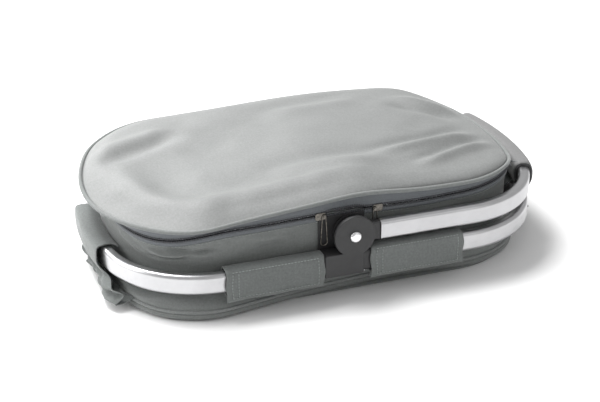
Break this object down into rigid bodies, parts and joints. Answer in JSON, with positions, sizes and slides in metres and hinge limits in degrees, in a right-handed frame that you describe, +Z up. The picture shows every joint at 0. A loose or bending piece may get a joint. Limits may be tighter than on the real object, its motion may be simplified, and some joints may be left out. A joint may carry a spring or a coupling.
{
  "type": "folding insulated cooler basket",
  "caption": "Folding insulated cooler basket with a zipped padded lid, an oval aluminium ring frame and a swinging U-shaped carrying handle, shown collapsed.",
  "frame": {"origin": "underside of the base, at the centre of the ring", "axes": "+X along the basket towards the folded handle's grip, +Y to the lid's hinge side, +Z up"},
  "size_m": [0.4914, 0.3038, 0.1122],
  "materials": {
    "grey_fabric": "woven polyester",
    "foam": "closed cell foam",
    "foil": "metallised foil",
    "board": "plain",
    "black_fabric": "coated",
    "zip_tape": "woven tape",
    "zip_coil": "nylon coil",
    "zip_metal": "nickel",
    "aluminium_tube": "satin anodised",
    "black_plastic": "moulded",
    "rivet_steel": "polished"
  },
  "bodies": {
    "base": {"base_cover": "grey_fabric", "base_board": "board", "base_foam": "foam", "base_liner": "foil", "base_piping": "grey_fabric", "lower_wall": "foam", "lower_liner": "foil"},
    "fold": {"fold_wall": "grey_fabric"},
    "bag": {"wall_cover": "grey_fabric", "wall_foam": "foam", "wall_liner": "foil", "zip_tape_lower": "zip_tape", "zip_coil_lower": "zip_coil", "zip_stops": "zip_metal", "lid_hinge_strip": "grey_fabric", "hinge_patch_front": "black_fabric", "hinge_patch_back": "black_fabric", "ring_tube_left": "aluminium_tube", "ring_tube_right": "aluminium_tube", "hinge_bracket_front": "black_plastic", "hinge_bracket_back": "black_plastic", "bracket_screws": "rivet_steel", "rivet_front": "rivet_steel", "rivet_back": "rivet_steel", "washers_front": "rivet_steel", "washers_back": "rivet_steel", "strap_left_front": "grey_fabric", "strap_left_back": "grey_fabric", "strap_right_front": "grey_fabric", "strap_right_back": "grey_fabric", "end_strap_left": "grey_fabric", "end_strap_right": "grey_fabric"},
    "lid": {"lid_cover": "grey_fabric", "lid_band": "grey_fabric", "lid_foam": "foam", "lid_lining": "foil", "lid_piping": "grey_fabric", "zip_tape_upper": "zip_tape", "zip_coil_upper": "zip_coil"},
    "handle": {"handle_tube": "aluminium_tube", "handle_socket_front": "black_plastic", "handle_socket_back": "black_plastic", "grip_foam": "foam", "grip_cover": "grey_fabric"},
    "slider_left": {"slider_left": "zip_metal"},
    "slider_right": {"slider_right": "zip_metal"},
    "pull_left": {"pull_left": "zip_metal"},
    "pull_right": {"pull_right": "zip_metal"}
  },
  "joints": [
    {"name": "wall_rise", "type": "slide", "parent": "base", "child": "bag", "axis": [0, 0, 1], "range_m": [0, 0.12]},
    {"name": "fold_rise", "type": "slide", "parent": "base", "child": "fold", "axis": [0, 0, 1], "range_m": [0, 0.06]},
    {"name": "lid_open", "type": "hinge", "parent": "bag", "child": "lid", "pos_m": [0, 0.1315, 0.1012], "axis": [-1, 0, 0], "range_deg": [0, 100]},
    {"name": "handle_swing", "type": "hinge", "parent": "bag", "child": "handle", "pos_m": [0, 0, 0.07], "axis": [0, -1, 0], "range_deg": [0, 180]},
    {"name": "zip_left", "type": "slide", "parent": "bag", "child": "slider_left", "axis": [-1, 0, 0], "range_m": [0, 0.095]},
    {"name": "zip_right", "type": "slide", "parent": "bag", "child": "slider_right", "axis": [1, 0, 0], "range_m": [0, 0.095]},
    {"name": "pull_left_swing", "type": "hinge", "parent": "slider_left", "child": "pull_left", "pos_m": [-0.0275, -0.13195, 0.089], "axis": [0, 1, 0], "range_deg": [0, 85]},
    {"name": "pull_right_swing", "type": "hinge", "parent": "slider_right", "child": "pull_right", "pos_m": [0.0275, -0.13195, 0.089], "axis": [0, -1, 0], "range_deg": [0, 85]}
  ],
  "couplings": [
    {"joint": "fold_rise", "follows": "wall_rise", "ratio": 0.5}
  ]
}
